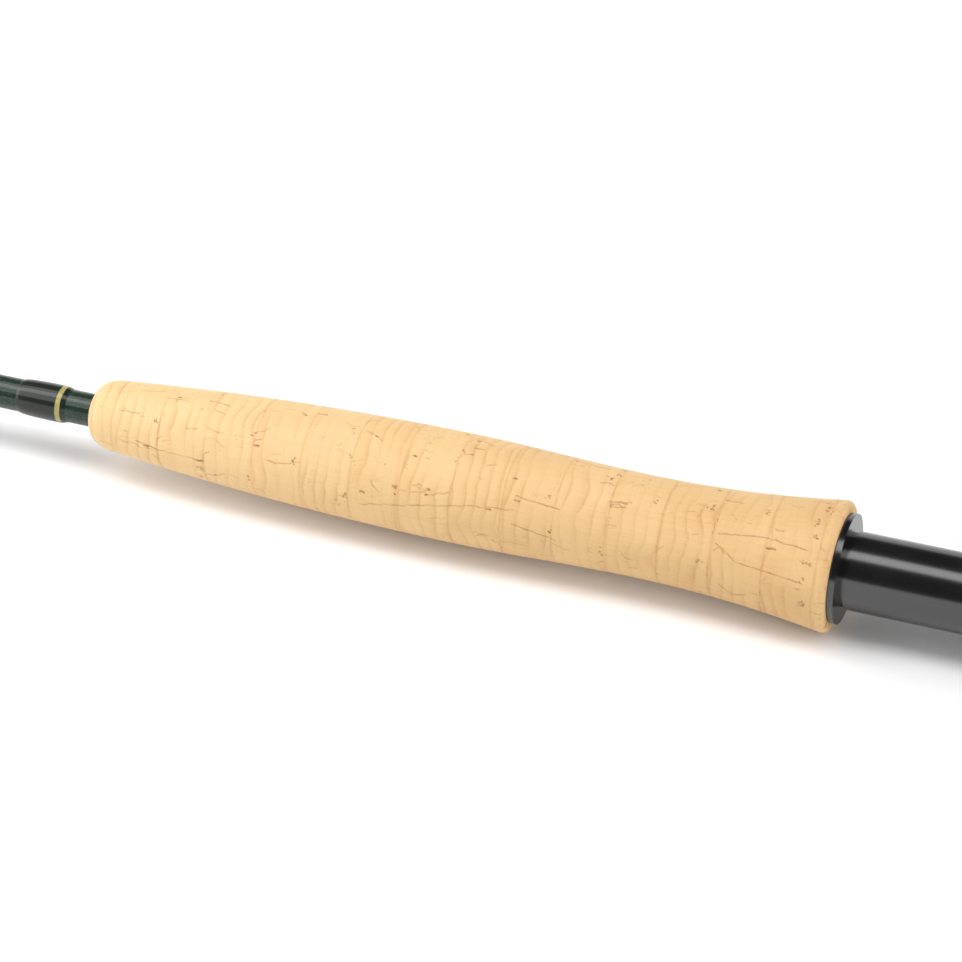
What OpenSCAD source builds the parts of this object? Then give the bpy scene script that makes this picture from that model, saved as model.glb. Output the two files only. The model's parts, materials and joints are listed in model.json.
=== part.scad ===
// Fly rod in four sections, with its reel on a down-locking seat.
// X runs along the rod to the tip and Z is up. The rod lies on its side, with the reel and
// the guides on the -Y side. The origin is the centre of the butt button's rear face.

/* [Rod] */
// Whole length, butt button to tip ring
rod_len = 2286; // [1900:2:2750]
// Outside diameter of the blank at its butt end
blank_butt_d = 9.2; // [8.4:0.1:10.8]
// Outside diameter of the blank at its tip
blank_tip_d = 1.6; // [1.4:0.1:2.2]
// Wall of the blank, all along
blank_wall = 0.55; // [0.45:0.05:0.65]
// Overlap of each ferrule
ferrule_len = 45; // [36:1:56]
// Play of a ferrule's sleeve over its spigot, on the radius
ferrule_fit = 0.03; // [0.02:0.01:0.06]

/* [Grip] */
// Length of one whole cork ring
cork_ring_len = 11.7; // [9.7:0.1:14.1]
// Length of the thin ring next to the seat, which facing the grip leaves
first_ring_len = 2.6; // [2.1:0.1:3.2]
// Length of the ring with the nose
last_ring_len = 7.3; // [6:0.1:9]
// Diameter of the flared rear end
flare_d = 29.2; // [24.2:0.1:35.2]
// Diameter of the waist
waist_d = 22.4; // [20:0.2:26]
// Diameter of the swell
swell_d = 24.4; // [22:0.2:29.4]
// Diameter at the front, before the nose
nose_d = 16.4; // [13.6:0.1:19.8]
// Length of the rounded nose
nose_len = 6.3; // [5.2:0.1:7.6]
// Rounding of the rear edge
flare_round = 1.6; // [1:0.1:2]

/* [Keeper wrap] */
// Length of the thread wrap in front of the grip
keeper_wrap_len = 12.3; // [10:0.1:15]
// Bare blank between the cork and the wrap
keeper_gap = 6.4; // [5.2:0.1:7.8]
// Thickness of the thread and its varnish
wrap_t = 0.45; // [0.35:0.05:0.6]
// Width of the gold trim band
trim_w = 1.15; // [0.9:0.05:1.5]

/* [Reel seat] */
// Distance from the butt face to the grip-side flange
seat_len = 138; // [130:1:166]
// Outside diameter of the seat's barrel
barrel_d = 17; // [14.1:0.1:20.4]
// Wall of the seat's barrel
barrel_wall = 1.2; // [1:0.1:1.6]
// Diameter of the grip-side flange
flange_d = 24; // [21.5:0.1:26]
// Thickness of the flange
flange_t = 1.5; // [1.2:0.1:2.5]
// Wall of the hoods over the reel's foot
hood_wall = 1.44; // [1.2:0.04:2]
// Pitch of the seat's thread
thread_pitch = 1.5; // [1:0.1:1.8]
// Whole turns of the hood nut from tight to open
nut_turns = 7; // [6:1:8]
// Play of the hood and the nuts on the barrel, on the radius
slide_fit = 0.06; // [0.04:0.01:0.1]

/* [Reel] */
// Diameter of the reel's frame
reel_d = 84; // [76:1:102]
// Width of the reel's frame
reel_w = 28.4; // [26:0.2:34.2]
// Diameter of the spool's arbor
arbor_d = 52; // [50:1:58]
// Length of the reel's foot
foot_len = 63.5; // [58:0.5:66]
// Width of the reel's foot
foot_w = 13; // [11:0.5:14.5]
// Distance from the barrel to the frame, which the foot bridges
foot_rise = 7; // [6:0.5:9]
// Diameter of the spindle
spindle_d = 6; // [5:0.1:7.2]
// Diameter of the drag knob
drag_knob_d = 29; // [25:0.5:34]
// Length of the handle's knob
handle_len = 22; // [18:0.5:27]
// Play of everything that turns on a shaft, on the radius
turn_fit = 0.05; // [0.03:0.01:0.08]

/* [Guides] */
// Distance from the lower ferrule to the stripping guide
strip_reach = 256; // [214:2:306]
// Growth of the guide spacing towards the butt
gap_growth = 1.085; // [1.06:0.005:1.11]
// Number of snake guides
snake_count = 8; // [6:1:9]
// Diameter of the snake guides' wire
wire_d = 0.9; // [0.7:0.05:1.1]
// Inside diameter of the stripping guide's ceramic ring
strip_ring_d = 8; // [7.5:0.1:10]

/* [Hidden] */
$fn = 64;
eps = 0.01;
ring_count = 16;
function cork_name(i) = str("cork_ring_", i < 10 ? "0" : "", i);

// Blank: four tapered tubes of one wall, so each sleeve fits the spigot below it all along.
sections = 4;
blank_start = 6;
tip_ring_x = 3;
blank_end = rod_len - tip_ring_x;
sec_len = (blank_end - blank_start + (sections - 1) * ferrule_len) / sections;
sleeve_step = blank_wall + ferrule_fit;
taper = ((blank_butt_d - blank_tip_d) / 2 + (sections - 1) * sleeve_step)
    / (blank_end - blank_start);
function sec_x(i) = blank_start + i * (sec_len - ferrule_len);
function out_r(i, x) = blank_butt_d / 2 + i * sleeve_step - taper * (x - blank_start);
function section_at(x) = max([for (i = [0:sections - 1]) if (x >= sec_x(i)) i]);
function blank_r(x) = out_r(section_at(x), x);

// Grip outline: a hollow from the flare to the waist, a rise to the swell, a fall to the nose.
grip_x = seat_len + flange_t;
grip_len = first_ring_len + (ring_count - 2) * cork_ring_len + last_ring_len;
waist_s = 0.246 * grip_len;
swell_s = 0.4986 * grip_len;
nose_s = grip_len - nose_len;
nose_lip = 0.4;
function fall_r(s) = swell_d / 2
    - (swell_d - nose_d) / 2 * pow((s - swell_s) / (nose_s - swell_s), 2);
function grip_r(s) =
    s < flare_round ? hollow_r(s) - flare_round
        + sqrt(pow(flare_round, 2) - pow(flare_round - s, 2)) :
    s < waist_s ? hollow_r(s) :
    s < swell_s ? waist_d / 2
        + (swell_d - waist_d) / 4 * (1 - cos(180 * (s - waist_s) / (swell_s - waist_s))) :
    s < nose_s ? fall_r(s) :
    nose_end_r + (nose_d / 2 - nose_end_r)
        * sqrt(max(0, 1 - pow((s - nose_s) / nose_len, 2)));
function hollow_r(s) = waist_d / 2 + (flare_d - waist_d) / 2 * pow(1 - s / waist_s, 2);
grip_end_x = grip_x + grip_len;
nose_end_r = out_r(0, grip_end_x) + nose_lip;

// Seat, from the butt: cap with the fixed hood, foot, sliding hood, two nuts, smooth barrel.
barrel_r = barrel_d / 2;
button_t = 4;
button_inset = 1;
cap_floor_x = 5;
cap_len = 24;
foot_x = 14;
foot_end_x = foot_x + foot_len;
hood_hold = 9.5;
hood_web = 4.5;
end_gap = 0.3;
face_gap = 0.05;
hood_x = foot_end_x + end_gap - hood_hold;
hood_len = hood_hold + hood_web;
nut_x = hood_x + hood_len + face_gap;
nut_len = 8;
lock_x = nut_x + nut_len + face_gap;
lock_len = 6;
hood_travel = nut_turns * thread_pitch;
thread_x = nut_x - 2;
thread_end_x = lock_x + lock_len + hood_travel + 1;
thread_depth = 0.4;
neck_len = 1.2;
neck_r = barrel_r - 0.4;
pilot_len = 1.4;
foot_end_t = 1.3;
foot_mid_t = 3;
foot_mid = 14;
pocket_play = 0.25;
foot_pocket_r = barrel_r + foot_end_t
    + (foot_mid_t - foot_end_t) * hood_hold / (foot_len / 2 - foot_mid) + pocket_play;
hood_r = foot_pocket_r + hood_wall;
hood_d = 2 * hood_r;
nut_d = hood_d - 1.8;

// Reel: its spindle stands on Z, and its foot faces the rod.
reel_r = reel_d / 2;
half_w = reel_w / 2;
plate_t = 3;
boss_h = 5.6;
boss_top = reel_r + 2;
reel_x = foot_x + foot_len / 2;
reel_y = -(barrel_r + foot_rise + boss_top);
pillar_r = 2;
pillar_inset = 0.6;
pillar_at = reel_r - pillar_r - pillar_inset;
run_gap = 0.4;
spool_r = pillar_at - pillar_r - run_gap;
ring_in_r = spool_r + 0.6;
arbor_r = arbor_d / 2;
arbor_wall = 1.8;
flange_gap = 0.6;
spool_back = -half_w + plate_t + flange_gap;
spool_front = half_w - 2;
spool_flange_t = 1.4;
spool_face_t = 2;
knob_recess_r = drag_knob_d / 2 + 5.5;
knob_recess_h = 4;
recess_floor = -half_w + knob_recess_h;
boss_wall = 1.8;
boss_floor = 2;
boss_z = recess_floor + boss_floor;
knob_sink = 0.2;
knob_gap = 0.4;
shaft_r = spindle_d / 2;
hub_r = shaft_r + 5;
race_r = shaft_r + 2.2;
hub_z = 2;
clutch_h = 5;
bush_h = 1;
housing_r = 17;
housing_wall = 1.5;
housing_h = 9.2;
disc_r = housing_r - housing_wall - 0.5;
disc_t = 1;
disc_count = 3;
plate_lift = 1.6;
washer_h = 1.6;
handle_at = spool_r - 7;
handle_base_r = 5;
post_r = 1.6;

// Guides
strip_pos = snake_count + 1;
wrap_len_ferrule = 20;
guide_clear = 20;
foot_wire = 6;
wire_r = wire_d / 2;
first_gap = (rod_len - sec_x(1) - strip_reach) * (gap_growth - 1)
    / (pow(gap_growth, strip_pos) - 1);
function tip_dist(k) = first_gap * (pow(gap_growth, k) - 1) / (gap_growth - 1);
function clear_of(x, i) = x > sec_x(i) - guide_clear
    && x < sec_x(i) + wrap_len_ferrule + guide_clear
    ? sec_x(i) + wrap_len_ferrule + guide_clear : x;
function guide_x(k) = clear_of(clear_of(clear_of(rod_len - tip_dist(k), 3), 2), 1);
function snake_h(k) = 4.2 + 0.35 * k;
function snake_w(k) = 2.2 + 0.15 * k;
function snake_l(k) = 9 + 0.8 * k;
function unit(v) = v / norm(v);
function tangent(p, i) = unit(p[min(i + 1, len(p) - 1)] - p[max(i - 1, 0)]);

// Turns a shape that stands on Z, or a profile of (radius, place), to lie along the rod.
module along_x(x = 0) {
    translate([x, 0, 0]) rotate([0, 90, 0]) children();
}

// A ring round the rod's axis between x and x + l, from one inner to one outer radius.
module rod_ring(x, l, inner, outer) {
    difference() {
        along_x(x) cylinder(h = l, r = outer);
        along_x(x - 1) cylinder(h = l + 2, r = inner);
    }
}

// The solid of the blank's outside between two places, for cutting what is wound round it.
module blank_core(i, x, l) {
    along_x(x) cylinder(h = l, r1 = out_r(i, x), r2 = out_r(i, x + l));
}

// A round wire along a path, as one closed tube.
module wire(path, r, sides = 8) {
    n = len(path);
    pts = [for (i = [0:n - 1]) let (t = tangent(path, i), u = unit(cross(t, [0, 0, 1])),
        v = cross(t, u)) for (j = [0:sides - 1])
        path[i] + r * (cos(360 * j / sides) * u + sin(360 * j / sides) * v)];
    skin = [for (i = [0:n - 2], j = [0:sides - 1]) let (k = (j + 1) % sides,
        a = i * sides, b = a + sides) each [[a + j, b + j, b + k], [a + j, b + k, a + k]]];
    start_cap = [for (j = [0:sides - 1]) j];
    end_cap = [for (j = [sides - 1:-1:0]) (n - 1) * sides + j];
    polyhedron(points = pts, faces = concat(skin, [start_cap, end_cap]), convexity = 6);
}

module blank(i) {
    x = sec_x(i);
    color("darkslategray") difference() {
        blank_core(i, x, sec_len);
        along_x(x - eps) cylinder(h = sec_len + 2 * eps,
            r1 = out_r(i, x) - blank_wall, r2 = out_r(i, x + sec_len) - blank_wall);
    }
}

// Varnished thread round section i, from x over l, with its ends run out to the blank.
module thread_wrap(i, x, l, t) {
    run = min(1.2, l / 4);
    difference() {
        along_x(x) rotate_extrude() polygon([[0, 0], [out_r(i, x) + 0.1, 0],
            [out_r(i, x) + t, run], [out_r(i, x + l) + t, l - run],
            [out_r(i, x + l) + 0.1, l], [0, l]]);
        blank_core(i, x - 1, l + 2);
    }
}

module ferrule_wrap(i) {
    color("darkgreen") thread_wrap(i, sec_x(i) + 1, wrap_len_ferrule, wrap_t);
}

// One snake guide: two feet along the blank and a twisted arch between them.
module snake_guide(k) {
    x = guide_x(k);
    i = section_at(x);
    l = snake_l(k);
    base = out_r(i, x - l / 2 - foot_wire) + wire_r + 0.02;
    arch = [for (s = [0:1 / 16:1]) [x + l * (s - 0.5),
        -(base + snake_h(k) * pow(sin(180 * s), 1.3)), snake_w(k) * sin(360 * s)]];
    path = concat([[x - l / 2 - foot_wire, -base, 0]], arch,
        [[x + l / 2 + foot_wire, -base, 0]]);
    wire(path, wire_r);
}

// The two thread wraps that hold a guide's feet, each with the foot's ridge under it.
module foot_wraps(k, l, foot) {
    x = guide_x(k);
    i = section_at(x);
    ridge = out_r(i, x - l / 2 - foot) + wire_r;
    for (at = [x - l / 2 - foot - 1, x + l / 2 + 0.6]) difference() {
        union() {
            thread_wrap(i, at, foot + 0.4, wrap_t);
            translate([0, -ridge, 0]) along_x(at + 0.7)
                cylinder(h = foot - 1, r = wire_r + 0.25, $fn = 32);
        }
        blank_core(i, at - 1, foot + 3);
    }
}

module snake_guides(i) {
    color("silver") for (k = [1:snake_count])
        if (section_at(guide_x(k)) == i) snake_guide(k);
}

module guide_wraps(i) {
    color("darkgreen") {
        for (k = [1:snake_count])
            if (section_at(guide_x(k)) == i) foot_wraps(k, snake_l(k), foot_wire);
        if (strip_sec == i) foot_wraps(strip_pos, strip_span, strip_foot);
    }
}

// Stripping guide: a ceramic ring in a steel ring, on four legs that meet in two feet.
strip_x = guide_x(strip_pos);
strip_sec = section_at(strip_x);
strip_foot = 9;
strip_span = 22;
ceramic_t = 0.9;
bezel_t = 0.8;
bezel_r = strip_ring_d / 2 + ceramic_t + bezel_t / 2;
strip_base = out_r(strip_sec, strip_x - strip_span / 2 - strip_foot) + 0.5;
strip_y = -(strip_base + bezel_r + 3.6);

module stripping_guide_frame() {
    color("silver") {
        translate([strip_x, strip_y, 0]) difference() {
            along_x(-0.9) cylinder(h = 1.8, r = bezel_r + bezel_t / 2);
            along_x(-1.2) cylinder(h = 2.4, r = bezel_r - bezel_t / 2);
        }
        for (end = [-1, 1], side = [-1, 1]) wire([
            [strip_x + end * 0.3, strip_y + bezel_r * 0.1, side * (bezel_r + 0.3)],
            [strip_x + end * 3, strip_y + bezel_r * 0.9, side * bezel_r * 0.7],
            [strip_x + end * (strip_span / 2 - 1), -strip_base - 0.3, side * 0.6],
            [strip_x + end * (strip_span / 2 + 1), -strip_base, side * 0.3],
            [strip_x + end * (strip_span / 2 + strip_foot), -strip_base, side * 0.2]], 0.45);
    }
}

module stripping_guide_ring() {
    color("dimgray") translate([strip_x, strip_y, 0]) along_x() rotate_extrude()
        translate([strip_ring_d / 2, 0]) polygon([[0.3, -1.1], [ceramic_t, -1.1],
            [ceramic_t, 1.1], [0.3, 1.1], [0, 0.5], [0, -0.5]]);
}

// Tip-top: a tube over the blank's end, with a wire ring below it.
tip_tube = 8;
tip_ring_r = 2.9;
tip_wire_r = 0.5;
module tip_top() {
    i = sections - 1;
    x = blank_end - tip_tube;
    ring_x = rod_len - tip_wire_r;
    color("silver") {
        difference() {
            along_x(x) cylinder(h = ring_x - x, r = out_r(i, x) + 0.3);
            along_x(x - eps) cylinder(h = tip_tube + eps, r1 = out_r(i, x - eps),
                r2 = out_r(i, blank_end));
        }
        translate([ring_x, -tip_ring_r, 0]) along_x() rotate_extrude()
            translate([tip_ring_r, 0]) circle(r = tip_wire_r);
    }
}

// Keeper wrap with its gold band, and the wire hook keeper that it holds.
keeper_x = grip_end_x + keeper_gap;
trim_x = keeper_x + 1.15;
keeper_angle = 30;
keeper_rise = 3;
keeper_wire_r = 0.4;

module keeper_wrap() {
    color("darkgreen") difference() {
        thread_wrap(0, keeper_x, keeper_wrap_len, wrap_t);
        along_x(trim_x) difference() {
            cylinder(h = trim_w, r = 12);
            translate([0, 0, -1]) cylinder(h = trim_w + 2, r = out_r(0, trim_x) + wrap_t / 2);
        }
    }
}

module keeper_trim_band() {
    color("gold") along_x(trim_x) difference() {
        cylinder(h = trim_w, r = out_r(0, trim_x) + wrap_t + 0.02);
        translate([0, 0, -1]) cylinder(h = trim_w + 2, r = out_r(0, trim_x) + wrap_t / 2);
    }
}

module hook_keeper() {
    base = out_r(0, keeper_x) + keeper_wire_r + 0.02;
    a = keeper_x + keeper_wrap_len - 5;
    b = a + 5;
    color("silver") rotate([keeper_angle, 0, 0]) wire([[a, -base, 0], [b + 0.6, -base, 0],
        [b + 1.6, -base - keeper_rise * 0.7, 0], [b + 2.6, -base - keeper_rise, 0],
        [b + 6.4, -base - keeper_rise, 0], [b + 7.4, -base - keeper_rise * 0.7, 0],
        [b + 8.4, -base, 0], [b + 9, -base, 0]], keeper_wire_r);
}

// Cork ring n, counted from the seat: its share of the grip's outline, bored for the blank.
ring_steps = 8;
function ring_start(n) = n == 1 ? 0 : first_ring_len + (n - 2) * cork_ring_len;
function ring_end(n) = n == ring_count ? grip_len : ring_start(n + 1);
function evenly(from, to) = [for (j = [0:ring_steps]) from + j * (to - from) / ring_steps];
function ring_stations(n) =
    n == 1 ? concat([for (a = [0:15:75]) flare_round * (1 - cos(a))],
        evenly(flare_round, ring_end(n))) :
    n == ring_count ? concat([ring_start(n)], [for (a = [0:9:90])
        let (s = nose_s + nose_len * sin(a)) if (s > ring_start(n) + 0.05) s]) :
    evenly(ring_start(n), ring_end(n));
module cork_ring(n) {
    s0 = ring_start(n);
    l = ring_end(n) - s0;
    color("burlywood") difference() {
        along_x(grip_x + s0) rotate_extrude() polygon(concat([[0, 0]],
            [for (s = ring_stations(n)) [grip_r(s), s - s0]], [[0, l]]));
        blank_core(0, grip_x + s0 - 1, l + 2);
    }
}

module seat_barrel() {
    crests = floor((thread_end_x - thread_x) / thread_pitch);
    x0 = cap_floor_x;
    x1 = seat_len - neck_len - face_gap;
    grooves = [for (c = [0:crests - 1]) each [
        [barrel_r, thread_x - x0 + c * thread_pitch],
        [barrel_r - thread_depth, thread_x - x0 + (c + 0.5) * thread_pitch]]];
    color([0.12, 0.12, 0.12]) difference() {
        along_x(x0) rotate_extrude() polygon(concat([[0, 0], [barrel_r, 0]], grooves,
            [[barrel_r, thread_x - x0 + crests * thread_pitch],
            [barrel_r, x1 - x0], [0, x1 - x0]]));
        along_x(x0 - 1) cylinder(h = x1 - x0 + 2, r = barrel_r - barrel_wall);
    }
}

// Flange against the cork, with a narrow neck and a pilot glued into the barrel's end.
module seat_flange() {
    x0 = seat_len - neck_len - pilot_len;
    color([0.15, 0.15, 0.15]) difference() {
        along_x(x0) rotate_extrude() polygon([[0, 0], [barrel_r - barrel_wall, 0],
            [barrel_r - barrel_wall, pilot_len], [neck_r, pilot_len],
            [neck_r, pilot_len + neck_len], [flange_d / 2, pilot_len + neck_len],
            [flange_d / 2, pilot_len + neck_len + flange_t],
            [0, pilot_len + neck_len + flange_t]]);
        blank_core(0, x0 - 1, pilot_len + neck_len + flange_t + 2);
    }
}

// Two fibre arbors that centre the barrel on the blank.
arbor_len = 14;
module seat_arbors() {
    color("tan") for (x = [cap_len + 4, seat_len - arbor_len - 4]) difference() {
        along_x(x) cylinder(h = arbor_len, r = barrel_r - barrel_wall);
        blank_core(0, x - 1, arbor_len + 2);
    }
}

// The space that the end of the reel's foot takes inside a hood, between x and x + l.
module foot_pocket(x, l) {
    intersection() {
        along_x(x) cylinder(h = l, r = foot_pocket_r);
        translate([x - 1, -hood_d, -foot_w / 2 - pocket_play])
            cube([l + 2, hood_d, foot_w + 2 * pocket_play]);
    }
}

module sliding_hood() {
    edge = 0.8;
    color([0.14, 0.14, 0.14]) difference() {
        along_x(hood_x) rotate_extrude() polygon([[0, 0], [hood_r - edge / 2, 0],
            [hood_r, edge / 2], [hood_r, hood_len - 2 * edge],
            [nut_d / 2, hood_len], [0, hood_len]]);
        along_x(hood_x - 1) cylinder(h = hood_len + 2, r = barrel_r + slide_fit);
        foot_pocket(hood_x - 1, hood_hold + 1);
    }
}

// A knurled nut round the barrel.
module knurled_nut(x, l) {
    edge = 0.7;
    flutes = 24;
    color([0.14, 0.14, 0.14]) difference() {
        along_x(x) rotate_extrude() polygon([[0, 0], [nut_d / 2 - edge, 0],
            [nut_d / 2, edge], [nut_d / 2, l - edge], [nut_d / 2 - edge, l], [0, l]]);
        along_x(x - 1) cylinder(h = l + 2, r = barrel_r + slide_fit);
        for (a = [0:360 / flutes:359]) rotate([a, 0, 0])
            translate([0, 0, nut_d / 2 + 0.2]) along_x(x - 1)
            cylinder(h = l + 2, r = 0.7, $fn = 24);
    }
}

module butt_cap() {
    edge = 1.5;
    color([0.12, 0.12, 0.12]) difference() {
        along_x(button_inset) rotate_extrude() polygon([[0, 0], [hood_r - edge, 0],
            [hood_r - edge * 0.3, edge * 0.3], [hood_r, edge],
            [hood_r, cap_len - button_inset - 0.4], [hood_r - 0.4, cap_len - button_inset],
            [0, cap_len - button_inset]]);
        along_x(cap_floor_x) cylinder(h = cap_len, r = barrel_r);
        along_x(-eps) cylinder(h = button_t + eps, r = hood_r - 3);
        foot_pocket(foot_x - end_gap, cap_len);
    }
}

module butt_button() {
    r = hood_r - 3;
    color([0.2, 0.2, 0.2]) along_x() rotate_extrude()
        polygon([[0, 0], [r - 0.8, 0], [r - 0.2, 0.25], [r, 0.8], [r, button_t], [0, button_t]]);
}

// Foot: a saddle on the barrel, thinned to both ends, with a post down to the frame.
post_len = 24;
post_w = 9;
screw_gap = 14;
screw_r = 1.5;
screw_head_r = 2.8;
module at_screws() {
    for (s = [-1, 1]) translate([reel_x + s * screw_gap / 2, -barrel_r, 0])
        rotate([90, 0, 0]) children();
}

module foot_outline() {
    r = foot_w / 2;
    hull() for (s = [-1, 1]) translate([s * (foot_len / 2 - r), 0]) circle(r = r, $fn = 48);
}

module reel_foot() {
    play = 0.03;
    color([0.16, 0.16, 0.16]) difference() {
        union() {
            intersection() {
                along_x(foot_x) rotate_extrude() polygon([[0, 0], [barrel_r + foot_end_t, 0],
                    [barrel_r + foot_mid_t, foot_len / 2 - foot_mid],
                    [barrel_r + foot_mid_t, foot_len / 2 + foot_mid],
                    [barrel_r + foot_end_t, foot_len], [0, foot_len]]);
                translate([foot_x, -barrel_r - foot_mid_t - 1, -foot_w / 2])
                    cube([foot_len, foot_mid_t + 1 + barrel_r / 2, foot_w]);
                translate([reel_x, 0, 0]) rotate([90, 0, 0])
                    linear_extrude(height = 2 * hood_d) foot_plan();
            }
            translate([reel_x - post_len / 2, -barrel_r - foot_rise, -post_w / 2])
                cube([post_len, foot_rise - 1, post_w]);
        }
        along_x(foot_x - 1) cylinder(h = foot_len + 2, r = barrel_r + play);
        at_screws() cylinder(h = foot_rise + 1, r = screw_r + 0.1, $fn = 32);
        at_screws() cylinder(h = 2.4, r = screw_head_r + 0.1, $fn = 32);
    }
}

// Plan of the foot: straight sides with round ends, from a square and two circles.
module foot_plan() {
    r = foot_w / 2;
    square([foot_len - 2 * r, foot_w], center = true);
    for (s = [-1, 1]) translate([s * (foot_len / 2 - r), 0]) circle(r = r);
}

module foot_screws() {
    color("silver") at_screws() difference() {
        union() {
            translate([0, 0, 0.8]) cylinder(h = 1.6, r = screw_head_r, $fn = 32);
            translate([0, 0, 0.8]) cylinder(h = foot_rise + 3, r = screw_r, $fn = 32);
        }
        translate([0, 0, 0.7]) cylinder(h = 1.2, r = 1.2, $fn = 6);
    }
}

// Places children on the reel's axis.
module on_reel(z = 0) {
    translate([reel_x, reel_y, z]) children();
}

// A round hole pattern of count holes on one circle, from z over h.
module ports(count, at, r, z, h, turn = 0) {
    for (n = [0:count - 1]) rotate(turn + n * 360 / count)
        translate([at, 0, z]) cylinder(h = h, r = r, $fn = 32);
}

module reel_frame() {
    rim = 0.8;
    port_at = (knob_recess_r + boss_wall + pillar_at - pillar_r) / 2;
    port_r = (pillar_at - pillar_r - knob_recess_r - boss_wall) / 2 - 1.5;
    color([0.16, 0.16, 0.17]) on_reel() difference() {
        union() {
            translate([0, 0, -half_w]) rotate_extrude() polygon([[0, 0], [reel_r - rim, 0],
                [reel_r, rim], [reel_r, plate_t], [0, plate_t]]);
            translate([0, 0, -half_w + 1])
                cylinder(h = boss_z + half_w - 1, r = knob_recess_r + boss_wall);
            translate([0, 0, half_w - plate_t]) rotate_extrude() polygon([[ring_in_r, 0],
                [reel_r, 0], [reel_r, plate_t - rim], [reel_r - rim, plate_t],
                [ring_in_r, plate_t]]);
            for (a = [30, -30, -90, -150, 150]) rotate(a) translate([pillar_at, 0, -half_w + 1])
                cylinder(h = reel_w - 2, r = pillar_r, $fn = 32);
            translate([-post_len / 2 - 1, reel_r - 3, -half_w])
                cube([post_len + 2, boss_top - reel_r + 3, reel_w]);
        }
        translate([0, 0, -half_w - 1]) cylinder(h = knob_recess_h + 1, r = knob_recess_r);
        translate([0, 0, -half_w - 1]) cylinder(h = reel_w + 2, r = shaft_r);
        ports(12, port_at, port_r, -half_w - 1, plate_t + 2, 15);
        for (s = [-1, 1]) translate([s * screw_gap / 2, boss_top + 1, 0]) rotate([90, 0, 0])
            cylinder(h = foot_rise, r = screw_r, $fn = 32);
    }
}

module spindle() {
    color("silver") on_reel() {
        translate([0, 0, -half_w + 1])
            cylinder(h = half_w - 1 + spool_front + cap_gap + cap_bore_h - 0.3, r = shaft_r);
    }
}

// Sealed drag: an upturned cup on the frame's boss.
module drag_housing() {
    color("dimgray") on_reel(boss_z) difference() {
        cylinder(h = housing_h, r = housing_r);
        translate([0, 0, -1]) cylinder(h = housing_h - housing_wall + 1,
            r = housing_r - housing_wall);
        cylinder(h = housing_h + 1, r = shaft_r + 1.2);
    }
}

module shaft_disc(z, h, r, bore) {
    on_reel(z) difference() {
        cylinder(h = h, r = r);
        translate([0, 0, -1]) cylinder(h = h + 2, r = bore);
    }
}

module drag_discs() {
    color("black") for (n = [0:disc_count - 1])
        shaft_disc(boss_z + 0.2 + n * (disc_t + 0.05), disc_t, disc_r - 0.4 * (n % 2), shaft_r + 0.4);
}

drag_top = boss_z + 0.2 + disc_count * (disc_t + 0.05);
module pressure_plate() {
    color("silver") shaft_disc(drag_top, plate_lift, disc_r - 1, shaft_r + 0.2);
}

// Two dished spring washers, back to back, above the pressure plate.
module spring_washers() {
    in_r = shaft_r + 0.3;
    out = shaft_r + 5;
    lift = washer_h / 2 - 0.4;
    color("silver") on_reel(drag_top + plate_lift + face_gap) rotate_extrude() {
        polygon([[in_r, lift], [out, 0], [out, 0.4], [in_r, lift + 0.4]]);
        polygon([[in_r, lift + 0.4 + face_gap], [out, 2 * lift + 0.4 + face_gap],
            [out, 2 * lift + 0.8 + face_gap], [in_r, lift + 0.8 + face_gap]]);
    }
}

// Knob in the recess of the back plate, with finger scallops round its edge.
module drag_knob() {
    r = drag_knob_d / 2;
    h = knob_recess_h - knob_sink - knob_gap;
    scallops = 8;
    color([0.2, 0.2, 0.2]) on_reel(-half_w + knob_sink) difference() {
        rotate_extrude() polygon([[0, 0], [r - 0.7, 0], [r, 0.7], [r, h], [0, h]]);
        translate([0, 0, 0.8 - knob_sink + 0.1]) cylinder(h = h + 1, r = shaft_r + turn_fit);
        for (n = [0:scallops - 1]) rotate((n + 0.5) * 360 / scallops)
            translate([r + 1.6, 0, -1]) cylinder(h = h + 2, r = 3.2, $fn = 32);
    }
}

module clutch_bearing() {
    color("silver") shaft_disc(hub_z + bush_h, clutch_h, race_r, shaft_r + turn_fit);
}

module spool_bushings() {
    color("goldenrod") for (z = [hub_z, hub_z + bush_h + clutch_h])
        shaft_disc(z, bush_h, race_r, shaft_r + turn_fit);
}

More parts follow.
